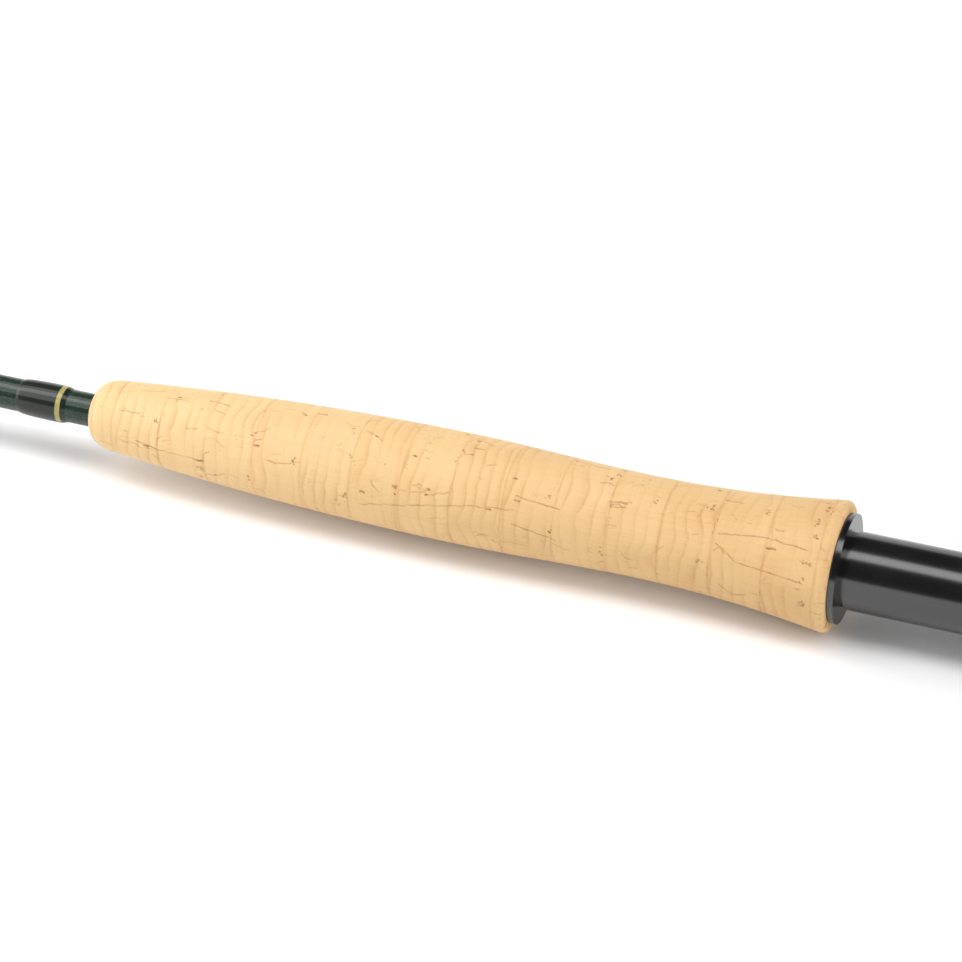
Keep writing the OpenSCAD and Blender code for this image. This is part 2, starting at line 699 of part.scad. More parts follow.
// Spool: two flanges on a drilled arbor, with a drilled face that carries the hub.
module spool() {
    arbor_ports = 12;
    color([0.22, 0.22, 0.23]) on_reel() difference() {
        union() {
            translate([0, 0, spool_back]) cylinder(h = spool_flange_t, r = spool_r);
            translate([0, 0, spool_back]) cylinder(h = spool_front - spool_back, r = arbor_r);
            translate([0, 0, spool_front - spool_face_t]) rotate_extrude() polygon([[0, 0],
                [spool_r, 0], [spool_r, spool_face_t - 0.6], [spool_r - 0.6, spool_face_t],
                [0, spool_face_t]]);
        }
        difference() {
            translate([0, 0, spool_back - 1]) cylinder(
                h = spool_front - spool_face_t - spool_back + 1, r = arbor_r - arbor_wall);
            translate([0, 0, hub_z]) cylinder(h = spool_front - hub_z, r = hub_r);
        }
        translate([0, 0, hub_z - 1])
            cylinder(h = 2 * bush_h + clutch_h + 1, r = race_r);
        translate([0, 0, spool_back]) cylinder(h = reel_w, r = shaft_r + turn_fit);
        ports(6, (hub_r + arbor_r - arbor_wall) / 2, (arbor_r - arbor_wall - hub_r) / 2 - 2.2,
            spool_front - spool_face_t - 1, spool_face_t + 2, 30);
        for (n = [0:arbor_ports - 1]) rotate(n * 360 / arbor_ports) rotate([0, 90, 0])
            translate([-(spool_back + spool_front) / 2, 0, arbor_r - arbor_wall - 2])
            cylinder(h = arbor_wall + 4, r = 4, $fn = 32);
        for (n = [0:arbor_ports - 1]) if (n % 6 != 0) rotate(n * 360 / arbor_ports)
            translate([handle_at - 0.5, 0, spool_back - 1]) cylinder(h = reel_w, r = 3, $fn = 32);
        for (s = [-1, 1]) translate([s * handle_at, 0, spool_front - spool_face_t - 1])
            cylinder(h = spool_face_t + 2, r = post_r, $fn = 32);
    }
}

// Screw cap on the spindle's end, which lets the spool off.
cap_gap = 0.3;
cap_bore_h = 3.1;
module spool_cap() {
    h = cap_bore_h + 0.9;
    r = hub_r - 0.5;
    color("silver") on_reel(spool_front + cap_gap) difference() {
        rotate_extrude() polygon([[0, 0], [r - 0.3, 0], [r, 0.3], [r, h - 0.8],
            [r - 0.8, h], [0, h]]);
        translate([0, 0, -1]) cylinder(h = cap_bore_h + 1, r = shaft_r + turn_fit);
        ports(10, r + 0.5, 1.1, -1, h + 2);
    }
}

// Handle: a stud in the spool's face, a turned knob on it and a screw that keeps it there.
post_shoulder = 0.8;
screw_sink = 2;
screw_play = 0.3;
bearing_r = post_r + 0.6;
module handle_post() {
    color("silver") on_reel(spool_front) translate([handle_at, 0, 0]) {
        translate([0, 0, -spool_face_t]) cylinder(h = spool_face_t + eps, r = post_r, $fn = 32);
        cylinder(h = post_shoulder, r = handle_base_r - 1);
        cylinder(h = post_shoulder + handle_len - screw_sink, r = bearing_r, $fn = 48);
    }
}

module handle_knob() {
    base = handle_base_r;
    color([0.13, 0.13, 0.13]) on_reel(spool_front + post_shoulder + face_gap)
        translate([handle_at, 0, 0]) difference() {
            rotate_extrude() polygon([[0, 0], [base - 0.4, 0], [base, 0.4],
                [base - 1.2, handle_len * 0.35], [base - 0.9, handle_len * 0.6],
                [base + 0.6, handle_len * 0.88], [base + 0.3, handle_len * 0.96],
                [base - 0.6, handle_len], [0, handle_len]]);
            translate([0, 0, -1])
                cylinder(h = handle_len + 2, r = bearing_r + turn_fit, $fn = 48);
            translate([0, 0, handle_len - screw_sink - screw_play]) cylinder(h = 4, r = 3.1);
        }
}

module handle_screw() {
    h = 1.2;
    color("silver") on_reel(spool_front + post_shoulder + handle_len - screw_sink)
        translate([handle_at, 0, 0]) difference() {
            cylinder(h = h, r = 2.8, $fn = 48);
            translate([-2, -0.3, h - 0.5]) cube([4, 0.6, 1]);
        }
}

module counterweight() {
    color("silver") on_reel(spool_front) translate([-handle_at, 0, 0]) {
        translate([0, 0, -spool_face_t]) cylinder(h = spool_face_t + eps, r = post_r, $fn = 32);
        cylinder(h = 2.2, r = 3.6, $fn = 48);
    }
}

blank(0);  // butt_blank
blank(1);  // lower_mid_blank
blank(2);  // upper_mid_blank
blank(3);  // tip_blank
ferrule_wrap(1);  // ferrule_wrap_lower
ferrule_wrap(2);  // ferrule_wrap_middle
ferrule_wrap(3);  // ferrule_wrap_tip
stripping_guide_frame();
stripping_guide_ring();
snake_guides(1);  // snake_guides_lower
snake_guides(2);  // snake_guides_middle
snake_guides(3);  // snake_guides_tip
guide_wraps(1);  // guide_wraps_lower
guide_wraps(2);  // guide_wraps_middle
guide_wraps(3);  // guide_wraps_tip
tip_top();
keeper_wrap();
keeper_trim_band();
hook_keeper();
for (n = [1:ring_count]) cork_ring(n);
seat_barrel();
seat_flange();
seat_arbors();
sliding_hood();
knurled_nut(nut_x, nut_len);  // hood_nut
knurled_nut(lock_x, lock_len);  // lock_nut
butt_cap();
butt_button();
reel_foot();
foot_screws();
reel_frame();
spindle();
drag_housing();
drag_discs();
pressure_plate();
spring_washers();
drag_knob();
clutch_bearing();
spool();
spool_bushings();
spool_cap();
handle_post();
handle_knob();
handle_screw();
counterweight();
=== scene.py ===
"""Fly rod with its reel: cork grip, varnished wraps, black seat and disc-drag reel.

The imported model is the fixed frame. Every piece below takes its place and its outline from it.
Angles round the rod start at +Y and turn towards +Z; lengths along the rod run towards the tip.
"""

import json
import math
import random

import bpy
import numpy as np
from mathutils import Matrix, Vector


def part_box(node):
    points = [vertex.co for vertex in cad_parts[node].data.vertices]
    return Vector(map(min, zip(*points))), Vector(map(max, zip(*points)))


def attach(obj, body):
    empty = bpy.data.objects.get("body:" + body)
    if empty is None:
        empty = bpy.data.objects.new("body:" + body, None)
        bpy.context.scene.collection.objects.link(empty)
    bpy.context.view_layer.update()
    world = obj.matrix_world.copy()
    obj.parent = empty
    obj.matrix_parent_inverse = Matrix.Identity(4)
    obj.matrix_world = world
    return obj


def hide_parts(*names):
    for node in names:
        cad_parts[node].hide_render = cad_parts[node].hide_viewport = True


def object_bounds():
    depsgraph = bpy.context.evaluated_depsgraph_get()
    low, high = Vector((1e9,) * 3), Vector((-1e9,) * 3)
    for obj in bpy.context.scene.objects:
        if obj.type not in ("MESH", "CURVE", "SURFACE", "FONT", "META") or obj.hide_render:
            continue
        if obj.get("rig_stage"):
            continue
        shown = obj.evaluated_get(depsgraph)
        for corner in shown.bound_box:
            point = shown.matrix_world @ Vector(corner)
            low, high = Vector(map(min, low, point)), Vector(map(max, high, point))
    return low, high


bl_info = {
    "name": "Fly Rod and Reel",
    "version": (1, 0, 0),
    "blender": (4, 5, 0),
    "location": "View3D > Sidebar > Fly Rod",
    "description": "Finishes the packed fly rod: turned cork, thread wraps, seat and reel",
    "category": "Object",
}

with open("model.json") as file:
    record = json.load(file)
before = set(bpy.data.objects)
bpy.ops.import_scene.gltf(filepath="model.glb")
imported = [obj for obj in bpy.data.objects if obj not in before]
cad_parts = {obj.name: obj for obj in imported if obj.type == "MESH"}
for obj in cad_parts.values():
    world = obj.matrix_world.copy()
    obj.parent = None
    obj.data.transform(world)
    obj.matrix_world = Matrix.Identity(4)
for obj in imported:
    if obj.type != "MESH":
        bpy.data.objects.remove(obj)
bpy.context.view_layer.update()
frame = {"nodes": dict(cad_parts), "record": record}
NODES = frame["nodes"]
BODY_OF = {n: body for body, names in frame["record"]["behaviour"]["bodies"].items() for n in names}
SLOT_OF = {s["node"]: s["material_slot"] for s in frame["record"]["subparts"]}
MM = 0.001
CORK_RINGS = sorted(n for n in NODES if n.startswith("cork_ring_"))


# ---------------------------------------------------------------- reading the frame

def cad_points(node):
    """The vertices of a CAD node as an array of rows (x, y, z)."""
    mesh = NODES[node].data
    flat = np.empty(len(mesh.vertices) * 3, np.float32)
    mesh.vertices.foreach_get("co", flat)
    return flat.reshape(-1, 3).astype(float)


def cad_outline(*nodes):
    """The outer outline of turned nodes: rows (place along the rod, radius)."""
    best = {}
    for node in nodes:
        low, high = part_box(node)
        bore = bore_radius(node)
        for x, y, z in cad_points(node):
            radius = math.hypot(y, z)
            if radius > np.interp(x, (low.x, high.x), bore) + 0.2 * MM:
                place = round(x, 5)
                best[place] = max(best.get(place, 0), radius)
    outline = []
    for point in sorted(best.items()):
        if outline and point[0] - outline[-1][0] < 0.00003:
            outline[-1] = max(outline[-1], point, key=lambda p: p[1])
        else:
            outline.append(point)
    return np.array(outline)


def bore_radius(node):
    """The inner radius of a turned node at its two ends."""
    points = cad_points(node)
    radius = np.hypot(points[:, 1], points[:, 2])
    x = points[:, 0]
    return radius[x < x.min() + 1e-5].min(), radius[x > x.max() - 1e-5].min()


def smooth_curve(points, step):
    """A Catmull-Rom curve through rows of points, resampled at an even step along it."""
    chord = np.hypot(*np.diff(points, axis=0).T)
    knots = np.concatenate([[0], np.cumsum(chord)])
    slope = np.empty_like(points)
    slope[1:-1] = (points[2:] - points[:-2]) / (knots[2:] - knots[:-2])[:, None]
    slope[0] = (points[1] - points[0]) / chord[0]
    slope[-1] = (points[-1] - points[-2]) / chord[-1]
    fine = np.linspace(0, knots[-1], int(knots[-1] / step * 6) + 2)
    i = np.clip(np.searchsorted(knots, fine) - 1, 0, len(chord) - 1)
    h = chord[i][:, None]
    t = ((fine - knots[i]) / chord[i])[:, None]
    curve = ((2 * t**3 - 3 * t**2 + 1) * points[i] + (t**3 - 2 * t**2 + t) * h * slope[i]
             + (3 * t**2 - 2 * t**3) * points[i + 1] + (t**3 - t**2) * h * slope[i + 1])
    length = np.concatenate([[0], np.cumsum(np.hypot(*np.diff(curve, axis=0).T))])
    even = np.linspace(0, length[-1], max(3, round(length[-1] / step) + 1))
    return np.column_stack([np.interp(even, length, curve[:, k]) for k in (0, 1)])


# ---------------------------------------------------------------- making meshes

def add_mesh(name, vertices, faces, smooth=True):
    mesh = bpy.data.meshes.new(name)
    mesh.from_pydata([tuple(v) for v in vertices], [], [tuple(f) for f in faces])
    mesh.polygons.foreach_set("use_smooth", [smooth] * len(mesh.polygons))
    mesh.validate()
    piece = bpy.data.objects.new(name, mesh)
    bpy.context.scene.collection.objects.link(piece)
    return piece


def turned(name, outline, turns, rise=None):
    """A ring-shaped piece, turned round the rod's axis from the rows (place, radius) of its section.

    rise(place, angle, radius) adds to the radius.
    """
    outline = np.asarray(outline, float)
    angle = np.linspace(0, 2 * math.pi, turns, endpoint=False)
    place = np.repeat(outline[:, 0], turns)
    radius = np.repeat(outline[:, 1], turns)
    a = np.tile(angle, len(outline))
    if rise is not None:
        radius = radius + rise(place, a, radius)
    vertices = np.column_stack([place, radius * np.cos(a), radius * np.sin(a)])
    rows = len(outline)
    faces = []
    for i in range(rows):
        lower, upper = i * turns, (i + 1) % rows * turns
        for j in range(turns):
            k = (j + 1) % turns
            faces.append((lower + j, upper + j, upper + k, lower + k))
    return add_mesh(name, vertices, faces)


def point_values(piece, name, values):
    """Stores one number for each vertex, which a material reads by name."""
    attribute = piece.data.attributes.new(name, "FLOAT", "POINT")
    attribute.data.foreach_set("value", np.asarray(values, np.float32))


def crisp(piece, angle=32):
    """Keeps edges sharper than the angle, in degrees, and smooths the rest."""
    piece.data.set_sharp_from_angle(angle=math.radians(angle))


def finish_piece(piece, node, material):
    """Gives a piece its material and puts it in place of the CAD node that it stands for."""
    piece.data.materials.clear()
    piece.data.materials.append(material)
    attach(piece, BODY_OF[node])
    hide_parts(node)


def lattice_noise(points, seed):
    """Smooth noise from 0 to 1 at rows of points, with one cell for each unit."""
    cell = np.floor(points).astype(np.int64)
    part = points - cell
    part = part * part * (3 - 2 * part)
    total = np.zeros(len(points))
    for corner in range(8):
        pick = np.array([corner & 1, corner >> 1 & 1, corner >> 2])
        c = cell + pick
        h = (c[:, 0] * 73856093 ^ c[:, 1] * 19349663 ^ c[:, 2] * 83492791 ^ seed * 26544357) & 0xFFFFFFFF
        h = (h ^ h >> 13) * 1540483477 & 0xFFFFFFFF
        h = (h ^ h >> 15) & 0xFFFF
        weight = np.prod(np.where(pick, part, 1 - part), axis=1)
        total += weight * h / 65535
    return total


# ---------------------------------------------------------------- materials

class Shader:
    """Short ways to place and join nodes in a node tree."""

    def __init__(self, tree):
        self.tree = tree

    def node(self, kind, values=None, **settings):
        made = self.tree.nodes.new(kind)
        for key, value in settings.items():
            setattr(made, key, value)
        for key, value in (values or {}).items():
            self.feed(made.inputs[key], value)
        return made

    def feed(self, socket, value):
        if isinstance(value, bpy.types.NodeSocket):
            self.tree.links.new(value, socket)
        else:
            socket.default_value = value

    def math(self, operation, *values, clamp=False):
        made = self.node("ShaderNodeMath", operation=operation, use_clamp=clamp)
        for socket, value in zip(made.inputs, values):
            self.feed(socket, value)
        return made.outputs[0]

    def ramp(self, value, low, high, bottom=0.0, top=1.0):
        made = self.node("ShaderNodeMapRange", interpolation_type="SMOOTHSTEP", values={
            "Value": value, "From Min": low, "From Max": high, "To Min": bottom, "To Max": top})
        return made.outputs["Result"]

    def mix(self, factor, first, second, blend="MIX"):
        made = self.node("ShaderNodeMix", data_type="RGBA", blend_type=blend)
        self.feed(made.inputs["Factor"], factor)
        self.feed(made.inputs["A"], first)
        self.feed(made.inputs["B"], second)
        return made.outputs["Result"]

    def place(self, stretch=(1, 1, 1)):
        """A point on the piece in metres, with each axis multiplied by stretch."""
        made = self.node("ShaderNodeTexCoord")
        scaled = self.node("ShaderNodeVectorMath", operation="MULTIPLY", values={
            0: made.outputs["Object"], 1: stretch})
        return scaled.outputs[0]

    def noise(self, vector, scale, detail=2.0, roughness=0.5):
        made = self.node("ShaderNodeTexNoise", values={
            "Vector": vector, "Scale": scale, "Detail": detail, "Roughness": roughness})
        return made.outputs["Fac"]

    def bump(self, height, strength, distance):
        made = self.node("ShaderNodeBump", values={
            "Height": height, "Strength": strength, "Distance": distance})
        return made.outputs["Normal"]


def colour(r, g, b):
    return (r, g, b, 1.0)


def effect(name, inputs, outputs, build):
    """A node group with named number sockets, built once."""
    group = bpy.data.node_groups.get(name)
    if group:
        return group
    group = bpy.data.node_groups.new(name, "ShaderNodeTree")
    for direction, sockets in (("INPUT", inputs), ("OUTPUT", outputs)):
        for label, kind, default in sockets:
            socket = group.interface.new_socket(label, in_out=direction, socket_type=kind)
            if default is not None:
                socket.default_value = default
    shader = Shader(group)
    source = group.nodes.new("NodeGroupInput")
    target = group.nodes.new("NodeGroupOutput")
    for label, value in build(shader, source.outputs).items():
        group.links.new(value, target.inputs[label])
    return group


FLOAT = "NodeSocketFloat"


def fine_grain(shader, source):
    """Small specks that change the roughness and the height a little."""
    place = shader.place()
    scale = shader.math("MULTIPLY", source["Grains per mm"], 1000)
    specks = shader.noise(place, scale, 3.0, 0.6)
    patches = shader.noise(place, shader.math("MULTIPLY", scale, 0.06), 2.0)
    value = shader.math("ADD", source["Roughness"], shader.math(
        "MULTIPLY", shader.math("SUBTRACT", patches, 0.5), source["Variation"]), clamp=True)
    return {"Height": specks, "Mask": patches, "Roughness": value}


def turning_marks(shader, source):
    """Fine rings that a lathe or a polishing belt leaves round an axis."""
    place = shader.node("ShaderNodeTexCoord").outputs["Object"]
    parts = shader.node("ShaderNodeSeparateXYZ", {"Vector": place})
    across = shader.math("MULTIPLY", source["Lines per mm"], 1000)
    line = shader.node("ShaderNodeCombineXYZ", {
        "X": shader.math("MULTIPLY", parts.outputs["X"], across),
        "Y": shader.math("MULTIPLY", parts.outputs["Y"], 40.0),
        "Z": shader.math("MULTIPLY", parts.outputs["Z"], 40.0)}).outputs[0]
    fine = shader.noise(line, 1.0, 3.0, 0.7)
    value = shader.math("ADD", source["Roughness"], shader.math(
        "MULTIPLY", shader.math("SUBTRACT", fine, 0.5), source["Variation"]), clamp=True)
    return {"Height": fine, "Roughness": value}


def thread_turns(shader, source):
    """Turns of fine thread laid side by side round the rod, with a painted highlight on the crests and
    painted shade between the turns, broken up by flecks.
    """
    place = shader.node("ShaderNodeTexCoord").outputs["Object"]
    parts = shader.node("ShaderNodeSeparateXYZ", {"Vector": place})
    round_rod = shader.math("ARCTAN2", parts.outputs["Z"], parts.outputs["Y"])
    turn = shader.math("DIVIDE", parts.outputs["X"], source["Thread width"])
    helix = shader.math("SUBTRACT", turn, shader.math("DIVIDE", round_rod, 2 * math.pi))
    phase = shader.math("MULTIPLY", helix, 2 * math.pi)
    crest = shader.math("MULTIPLY_ADD", shader.math("COSINE", phase), 0.5, 0.5)
    fleck = shader.noise(shader.place((2600, 900, 900)), 1.0, 2.0)
    return {"Height": crest, "Mask": shader.math("MULTIPLY", crest, fleck)}


GROUPS = {
    "Fine grain": (
        [("Grains per mm", FLOAT, 4.0), ("Roughness", FLOAT, 0.4), ("Variation", FLOAT, 0.1)],
        [("Height", FLOAT, None), ("Mask", FLOAT, None), ("Roughness", FLOAT, None)], fine_grain),
    "Turning marks": (
        [("Lines per mm", FLOAT, 4.0), ("Roughness", FLOAT, 0.3), ("Variation", FLOAT, 0.1)],
        [("Height", FLOAT, None), ("Roughness", FLOAT, None)], turning_marks),
    "Thread turns": (
        [("Thread width", FLOAT, 0.0002)],
        [("Height", FLOAT, None), ("Mask", FLOAT, None)], thread_turns),
}


def placed(shader, name, **values):
    """Places one of the shared effects in a material, with its own values."""
    inputs, outputs, build = GROUPS[name]
    made = shader.node("ShaderNodeGroup")
    made.node_tree = effect(name, inputs, outputs, build)
    for label, value in values.items():
        shader.feed(made.inputs[label.replace("_", " ")], value)
    return made.outputs


def new_material(name, settings):
    """A Principled material with plain values on the shader's own sockets."""
    material = bpy.data.materials.new(name)
    material.use_nodes = True
    shader = Shader(material.node_tree)
    surface = material.node_tree.nodes["Principled BSDF"]
    for label, value in settings.items():
        surface.inputs[label].default_value = value
    return material, shader, surface


def cork_material(light, dark, pit):
    material, shader, surface = new_material("turned_cork", {
        "Specular IOR Level": 0.35, "Sheen Weight": 0.06, "Sheen Roughness": 0.5})
    layer = shader.node("ShaderNodeAttribute", attribute_name="layer").outputs["Fac"]
    pore = shader.node("ShaderNodeAttribute", attribute_name="pore").outputs["Fac"]
    # Each ring's random tone together with a painted shade that grows darker towards the seat end.
    tone_and_painted_shade = shader.node("ShaderNodeAttribute", attribute_name="tone_and_painted_shade").outputs["Fac"]
    cells = shader.noise(shader.place(), 2600, 2.0, 0.6)
    fibres = shader.noise(shader.place((150, 1500, 1500)), 1.0, 3.0, 0.6)
    clouds = shader.noise(shader.place(), 120, 3.0, 0.55)
    line = shader.math("MULTIPLY", layer, shader.ramp(clouds, 0.25, 0.7, 0.45, 1.0))
    base = shader.mix(line, colour(*light), colour(*dark))
    shade = shader.math("ADD", tone_and_painted_shade, shader.math("MULTIPLY_ADD", fibres, 0.16, 0.92))
    shade = shader.math("ADD", shade, shader.math("MULTIPLY_ADD", cells, 0.12, -0.06))
    grey = shader.node("ShaderNodeCombineColor", {"Red": shader.math("POWER", shade, 0.6),
                                                  "Green": shade,
                                                  "Blue": shader.math("POWER", shade, 1.5)})
    base = shader.mix(1.0, base, grey.outputs[0], "MULTIPLY")
    speck = shader.noise(shader.place((420, 2300, 2300)), 1.0, 2.0, 0.5)
    tiny = shader.math("MULTIPLY", shader.ramp(speck, 0.66, 0.74), shader.ramp(clouds, 0.5, 0.62))
    hole = shader.math("MULTIPLY", pore, shader.ramp(cells, 0.3, 0.6, 0.75, 1.15))
    hole = shader.math("MAXIMUM", hole, shader.math("MULTIPLY", tiny, 0.35), clamp=True)
    base = shader.mix(hole, base, colour(*pit))
    shader.feed(surface.inputs["Base Color"], base)
    shader.feed(surface.inputs["Roughness"], shader.ramp(cells, 0.2, 0.8, 0.55, 0.7))
    height = shader.math("ADD", shader.math("MULTIPLY", cells, 0.5),
                         shader.math("MULTIPLY", hole, -0.8))
    shader.feed(surface.inputs["Normal"], shader.bump(height, 0.35, 0.00008))
    return material


def graphite_material(base_colour, fleck_colour):
    material, shader, surface = new_material("graphite_under_lacquer", {
        "Roughness": 0.42, "Specular IOR Level": 0.08, "Coat Weight": 1.0,
        "Coat Roughness": 0.035, "Coat IOR": 1.37})
    fibres = shader.noise(shader.place((260, 2600, 2600)), 1.0, 3.0, 0.65)
    specks = shader.noise(shader.place((1500, 2200, 2200)), 1.0, 2.0, 0.7)
    weave = shader.math("MULTIPLY", shader.ramp(fibres, 0.35, 0.7), shader.ramp(specks, 0.4, 0.65))
    shader.feed(surface.inputs["Base Color"],
                shader.mix(weave, colour(*base_colour), colour(*fleck_colour)))
    shader.feed(surface.inputs["Normal"], shader.bump(fibres, 0.15, 0.00003))
    return material


def thread_material(name, base_colour, crest_highlight_colour, width, varnish=0.05):
    material, shader, surface = new_material(name, {
        "Roughness": 0.5, "Specular IOR Level": 0.1, "Coat Weight": 1.0,
        "Coat Roughness": varnish, "Coat IOR": 1.38})
    turns = placed(shader, "Thread turns", Thread_width=width)
    # The crests are painted lighter than the grooves: a painted highlight on each turn and painted shade
    # between them.
    shader.feed(surface.inputs["Base Color"],
                shader.mix(turns["Mask"], colour(*base_colour), colour(*crest_highlight_colour)))
    shader.feed(surface.inputs["Normal"], shader.bump(turns["Height"], 0.5, 0.00003))
    return material


def turned_metal(name, base_colour, metallic, roughness, lines, variation, ior=1.5):
    material, shader, surface = new_material(name, {"Metallic": metallic, "IOR": ior})
    marks = placed(shader, "Turning marks", Lines_per_mm=lines, Roughness=roughness,
                   Variation=variation)
    wear = shader.noise(shader.place(), 90, 3.0, 0.6)
    worn = [min(1.0, c * 1.25 + 0.002) for c in base_colour]
    shader.feed(surface.inputs["Base Color"],
                shader.mix(shader.ramp(wear, 0.4, 0.7), colour(*base_colour), colour(*worn)))
    shader.feed(surface.inputs["Roughness"], marks["Roughness"])
    shader.feed(surface.inputs["Normal"], shader.bump(marks["Height"], 0.12, 0.00002))
    return material


def moulded(name, base_colour, roughness, grains, variation, bump, metallic=0.0):
    material, shader, surface = new_material(name, {"Metallic": metallic})
    grain = placed(shader, "Fine grain", Grains_per_mm=grains, Roughness=roughness,
                   Variation=variation)
    pale = [min(1.0, c * 1.3 + 0.003) for c in base_colour]
    shader.feed(surface.inputs["Base Color"],
                shader.mix(grain["Mask"], colour(*base_colour), colour(*pale)))
    shader.feed(surface.inputs["Roughness"], grain["Roughness"])
    shader.feed(surface.inputs["Normal"], shader.bump(grain["Height"], bump, 0.00005))
    return material


def carbon_material():
    material, shader, surface = new_material("woven_carbon_disc", {"Specular IOR Level": 0.6})
    place = shader.place()
    check = shader.node("ShaderNodeTexChecker", {"Vector": place, "Scale": 900.0,
                                                 "Color1": colour(0.012, 0.012, 0.013),
                                                 "Color2": colour(0.035, 0.035, 0.037)})
    shader.feed(surface.inputs["Base Color"], check.outputs["Color"])
    shader.feed(surface.inputs["Roughness"],
                shader.ramp(shader.noise(place, 900), 0.3, 0.7, 0.4, 0.6))
    return material


MATERIALS = {}


def make_materials(sizes):
    """One material for each slot of the record."""
    m = MATERIALS
    m["cork"] = cork_material(sizes.cork_light, sizes.cork_dark, sizes.cork_pit)
    m["graphite_blank"] = graphite_material(sizes.blank_colour, (0.036, 0.062, 0.04))
    # The lighter second colour of each thread is a painted highlight on the crests of the turns.
    m["thread_wrap"] = thread_material("thread_under_varnish", (0.006, 0.009, 0.006),
                                       (0.018, 0.024, 0.017), 0.00019)
    m["gold_thread"] = thread_material("gold_thread_under_varnish", (0.22, 0.19, 0.055),
                                       (0.62, 0.56, 0.25), 0.00024)
    m["guide_wire"] = turned_metal("hard_chromed_wire", (0.62, 0.62, 0.63), 1.0, 0.16, 3.0, 0.1)
    m["guide_ceramic"] = moulded("polished_ceramic", (0.05, 0.055, 0.07), 0.12, 6.0, 0.05, 0.02)
    m["anodised_black"] = turned_metal("satin_black_anodised", sizes.seat_colour, 0.0, 0.2,
                                       5.0, 0.08, ior=1.85)
    m["fibre_arbor"] = moulded("pressed_fibre", (0.42, 0.31, 0.18), 0.8, 3.0, 0.1, 0.5)
    m["rubber_button"] = moulded("black_rubber", (0.02, 0.02, 0.021), 0.62, 5.0, 0.15, 0.3)
    m["screw_steel"] = turned_metal("machined_steel", (0.56, 0.56, 0.57), 1.0, 0.24, 4.0, 0.14)
    m["reel_grey"] = turned_metal("satin_grey_anodised", (0.085, 0.09, 0.1), 0.85, 0.3, 4.0, 0.12)
    m["carbon_disc"] = carbon_material()
    m["bushing_bronze"] = moulded("sintered_bronze", (0.4, 0.24, 0.09), 0.42, 8.0, 0.2, 0.3,
                                  metallic=1.0)
    m["handle_black"] = moulded("turned_handle", (0.016, 0.016, 0.017), 0.28, 2.0, 0.08, 0.02)


# ---------------------------------------------------------------- sizes and colours

class GripSizes(bpy.types.PropertyGroup):
    turns: bpy.props.IntProperty(
        name="Facets round", description="Mesh points round each cork ring", default=420, min=64)
    step: bpy.props.FloatProperty(
        name="Mesh step", description="Mesh step along the cork", default=0.0002,
        min=0.0001, unit="LENGTH")
    layer_gap: bpy.props.FloatProperty(
        name="Growth layer", description="Distance between two growth layers", default=0.0029,
        min=0.001, unit="LENGTH")
    pit_depth: bpy.props.FloatProperty(
        name="Pit depth", description="Depth of the deepest pores", default=0.00015,
        min=0, unit="LENGTH")
    streaks: bpy.props.IntProperty(
        name="Streaks", description="Small random pores in each ring", default=20, min=0)


class FinishColours(bpy.types.PropertyGroup):
    cork_light: bpy.props.FloatVectorProperty(
        name="Cork", description="Colour of clean cork", subtype="COLOR",
        default=(0.70, 0.475, 0.232))
    cork_dark: bpy.props.FloatVectorProperty(
        name="Growth lines", description="Colour of the growth lines", subtype="COLOR",
        default=(0.50, 0.265, 0.095))
    cork_pit: bpy.props.FloatVectorProperty(
        name="Pores", description="Colour inside the pores", subtype="COLOR",
        default=(0.22, 0.07, 0.02))
    blank_colour: bpy.props.FloatVectorProperty(
        name="Blank", description="Colour of the graphite under its lacquer", subtype="COLOR",
        default=(0.010, 0.022, 0.014))
    seat_colour: bpy.props.FloatVectorProperty(
        name="Seat", description="Colour of the anodised seat", subtype="COLOR",
        default=(0.004, 0.004, 0.0045))


class StudioSizes(bpy.types.PropertyGroup):
    lens: bpy.props.FloatProperty(
        name="Lens", description="Focal length of the camera", default=131.0, min=10)
    key: bpy.props.FloatProperty(
        name="Key light", description="Radiance of the long overhead softbox", default=3.1, min=0)
    panel: bpy.props.FloatProperty(
        name="Panel", description="Radiance of the softbox over the blank", default=2.3, min=0)
    fill: bpy.props.FloatProperty(
        name="Fill light", description="Radiance of the dim part of the tent", default=0.06, min=0)
    front: bpy.props.FloatProperty(
        name="Front card", description="Radiance of the low card in front", default=1.5, min=0)
    ends: bpy.props.FloatProperty(
        name="End lights", description="Radiance of the two ends of the tent", default=2.3, min=0)


# ---------------------------------------------------------------- cork

# Cracks listed one by one: width in mm, darkness, then points (mm from the flared end, degrees).
CRACKS = (
    (0.14, 0.6, ((25, 45), (15, 50), (5, 45))),
    (0.14, 0.6, ((25, 35), (20, 20), (5, 15))),
    (0.22, 0.9, ((12, 40), (14, 40))),
    (0.15, 0.6, ((50, 55), (45, 60))),
    (0.14, 0.5, ((105, -5), (90, 10), (80, 20), (70, 25))),
    (0.24, 0.9, ((75, 20), (76, 20))),
    (0.14, 0.6, ((70, 40), (60, 35))),
    (0.24, 0.9, ((70, 35), (69, 35))),
    (0.14, 0.6, ((70, 10), (60, 0))),
    (0.20, 0.7, ((80, 85), (82, 85))),
    (0.24, 0.8, ((105, 10), (104, 10))),
    (0.28, 0.9, ((130, 35), (131, 35))),
    (0.16, 0.7, ((160, 5), (155, 0))),
    (0.28, 0.9, ((157, 0), (158, 0))),
    (0.13, 0.5, ((155, 0), (145, 0))),
    (0.28, 0.9, ((143, 0), (145, 0))),
    (0.16, 0.6, ((145, 85), (140, 80))),
    (0.20, 0.4, ((165, 45), (160, 45))),
)

# How many groups of pores a ring has at its start, and the rings that have more of them.
PORE_GROUPS = 4
RICH_RINGS = {2: 24, 4: 14, 6: 10}
SEAM_WIDTH = 0.22 * MM


def placed_cracks():
    """The listed cracks, with their places counted along the rod."""
    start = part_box(CORK_RINGS[0])[0].x / MM
    return [(width, dark, tuple((start + x, a) for x, a in path)) for width, dark, path in CRACKS]


